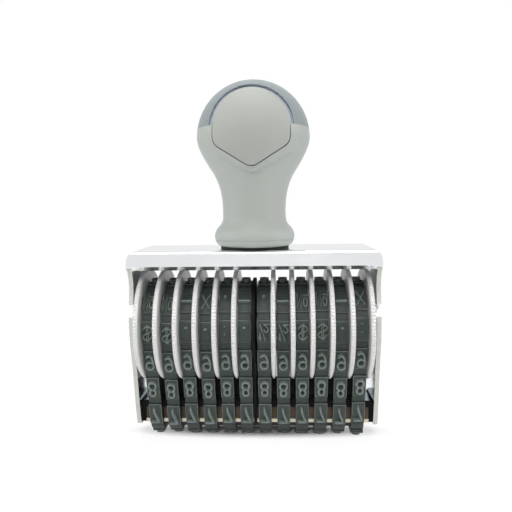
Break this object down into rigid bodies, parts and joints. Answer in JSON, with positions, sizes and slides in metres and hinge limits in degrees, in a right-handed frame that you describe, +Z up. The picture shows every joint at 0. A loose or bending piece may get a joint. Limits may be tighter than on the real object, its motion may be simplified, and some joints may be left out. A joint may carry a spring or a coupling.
{
  "type": "numbering machine",
  "caption": "Hand numbering stamp: ball knob on a bent metal frame, knurled thumbwheels on one axle, and a row of rubber type bands stretched round a bridge bar.",
  "frame": {"origin": "on the desk, under the middle of the printing faces", "axes": "+X along the wheel axle to the right seen from the front, -Y to the front where the badge is, +Z up"},
  "size_m": [0.065, 0.0294, 0.0928],
  "materials": {
    "frame_chrome": "mirror-bright plated sheet",
    "steel": "plain turned steel",
    "divider_black": "matt",
    "strap_black": "blackened",
    "bar_bronze": "dull bronze",
    "web_brown": "dull dark brown",
    "lip_metal": "satin, warm",
    "cushion_rubber": "matt",
    "gasket_black": "matt",
    "knob_grey": "satin",
    "cap_blue_grey": "satin",
    "badge_grey": "satin",
    "band_rubber": "matt",
    "wheel_white": "satin moulded"
  },
  "bodies": {
    "stamp": {"frame": "frame_chrome", "wheel_axle": "steel", "axle_clip_left": "steel", "axle_clip_right": "steel", "end_washer_left": "steel", "end_washer_right": "steel", "centre_divider": "divider_black", "tension_strap": "strap_black", "bridge_bar": "bar_bronze", "bridge_web": "web_brown", "bridge_lip": "lip_metal", "print_cushion": "cushion_rubber", "rivet_left": "steel", "rivet_right": "steel", "knob_screw": "steel", "knob_washer": "steel", "knob_gasket": "gasket_black", "knob_body": "knob_grey", "knob_cap": "cap_blue_grey", "knob_badge": "badge_grey", "band_01": "band_rubber", "band_02": "band_rubber", "band_03": "band_rubber", "band_04": "band_rubber", "band_05": "band_rubber", "band_06": "band_rubber", "band_07": "band_rubber", "band_08": "band_rubber", "band_09": "band_rubber", "band_10": "band_rubber", "band_11": "band_rubber", "band_12": "band_rubber"},
    "thumbwheel_01": {"wheel_01": "wheel_white"},
    "thumbwheel_02": {"wheel_02": "wheel_white"},
    "thumbwheel_03": {"wheel_03": "wheel_white"},
    "thumbwheel_04": {"wheel_04": "wheel_white"},
    "thumbwheel_05": {"wheel_05": "wheel_white"},
    "thumbwheel_06": {"wheel_06": "wheel_white"},
    "thumbwheel_07": {"wheel_07": "wheel_white"},
    "thumbwheel_08": {"wheel_08": "wheel_white"},
    "thumbwheel_09": {"wheel_09": "wheel_white"},
    "thumbwheel_10": {"wheel_10": "wheel_white"},
    "thumbwheel_11": {"wheel_11": "wheel_white"},
    "thumbwheel_12": {"wheel_12": "wheel_white"}
  },
  "joints": [
    {"name": "thumbwheel_01_turn", "type": "hinge", "parent": "stamp", "child": "thumbwheel_01", "pos_m": [-0.0264, 0, 0.0301], "axis": [1, 0, 0], "continuous": true},
    {"name": "thumbwheel_02_turn", "type": "hinge", "parent": "stamp", "child": "thumbwheel_02", "pos_m": [-0.0216, 0, 0.0301], "axis": [1, 0, 0], "continuous": true},
    {"name": "thumbwheel_03_turn", "type": "hinge", "parent": "stamp", "child": "thumbwheel_03", "pos_m": [-0.0168, 0, 0.0301], "axis": [1, 0, 0], "continuous": true},
    {"name": "thumbwheel_04_turn", "type": "hinge", "parent": "stamp", "child": "thumbwheel_04", "pos_m": [-0.012, 0, 0.0301], "axis": [1, 0, 0], "continuous": true},
    {"name": "thumbwheel_05_turn", "type": "hinge", "parent": "stamp", "child": "thumbwheel_05", "pos_m": [-0.0072, 0, 0.0301], "axis": [1, 0, 0], "continuous": true},
    {"name": "thumbwheel_06_turn", "type": "hinge", "parent": "stamp", "child": "thumbwheel_06", "pos_m": [-0.0024, 0, 0.0301], "axis": [1, 0, 0], "continuous": true},
    {"name": "thumbwheel_07_turn", "type": "hinge", "parent": "stamp", "child": "thumbwheel_07", "pos_m": [0.0024, 0, 0.0301], "axis": [1, 0, 0], "continuous": true},
    {"name": "thumbwheel_08_turn", "type": "hinge", "parent": "stamp", "child": "thumbwheel_08", "pos_m": [0.0072, 0, 0.0301], "axis": [1, 0, 0], "continuous": true},
    {"name": "thumbwheel_09_turn", "type": "hinge", "parent": "stamp", "child": "thumbwheel_09", "pos_m": [0.012, 0, 0.0301], "axis": [1, 0, 0], "continuous": true},
    {"name": "thumbwheel_10_turn", "type": "hinge", "parent": "stamp", "child": "thumbwheel_10", "pos_m": [0.0168, 0, 0.0301], "axis": [1, 0, 0], "continuous": true},
    {"name": "thumbwheel_11_turn", "type": "hinge", "parent": "stamp", "child": "thumbwheel_11", "pos_m": [0.0216, 0, 0.0301], "axis": [1, 0, 0], "continuous": true},
    {"name": "thumbwheel_12_turn", "type": "hinge", "parent": "stamp", "child": "thumbwheel_12", "pos_m": [0.0264, 0, 0.0301], "axis": [1, 0, 0], "continuous": true}
  ]
}
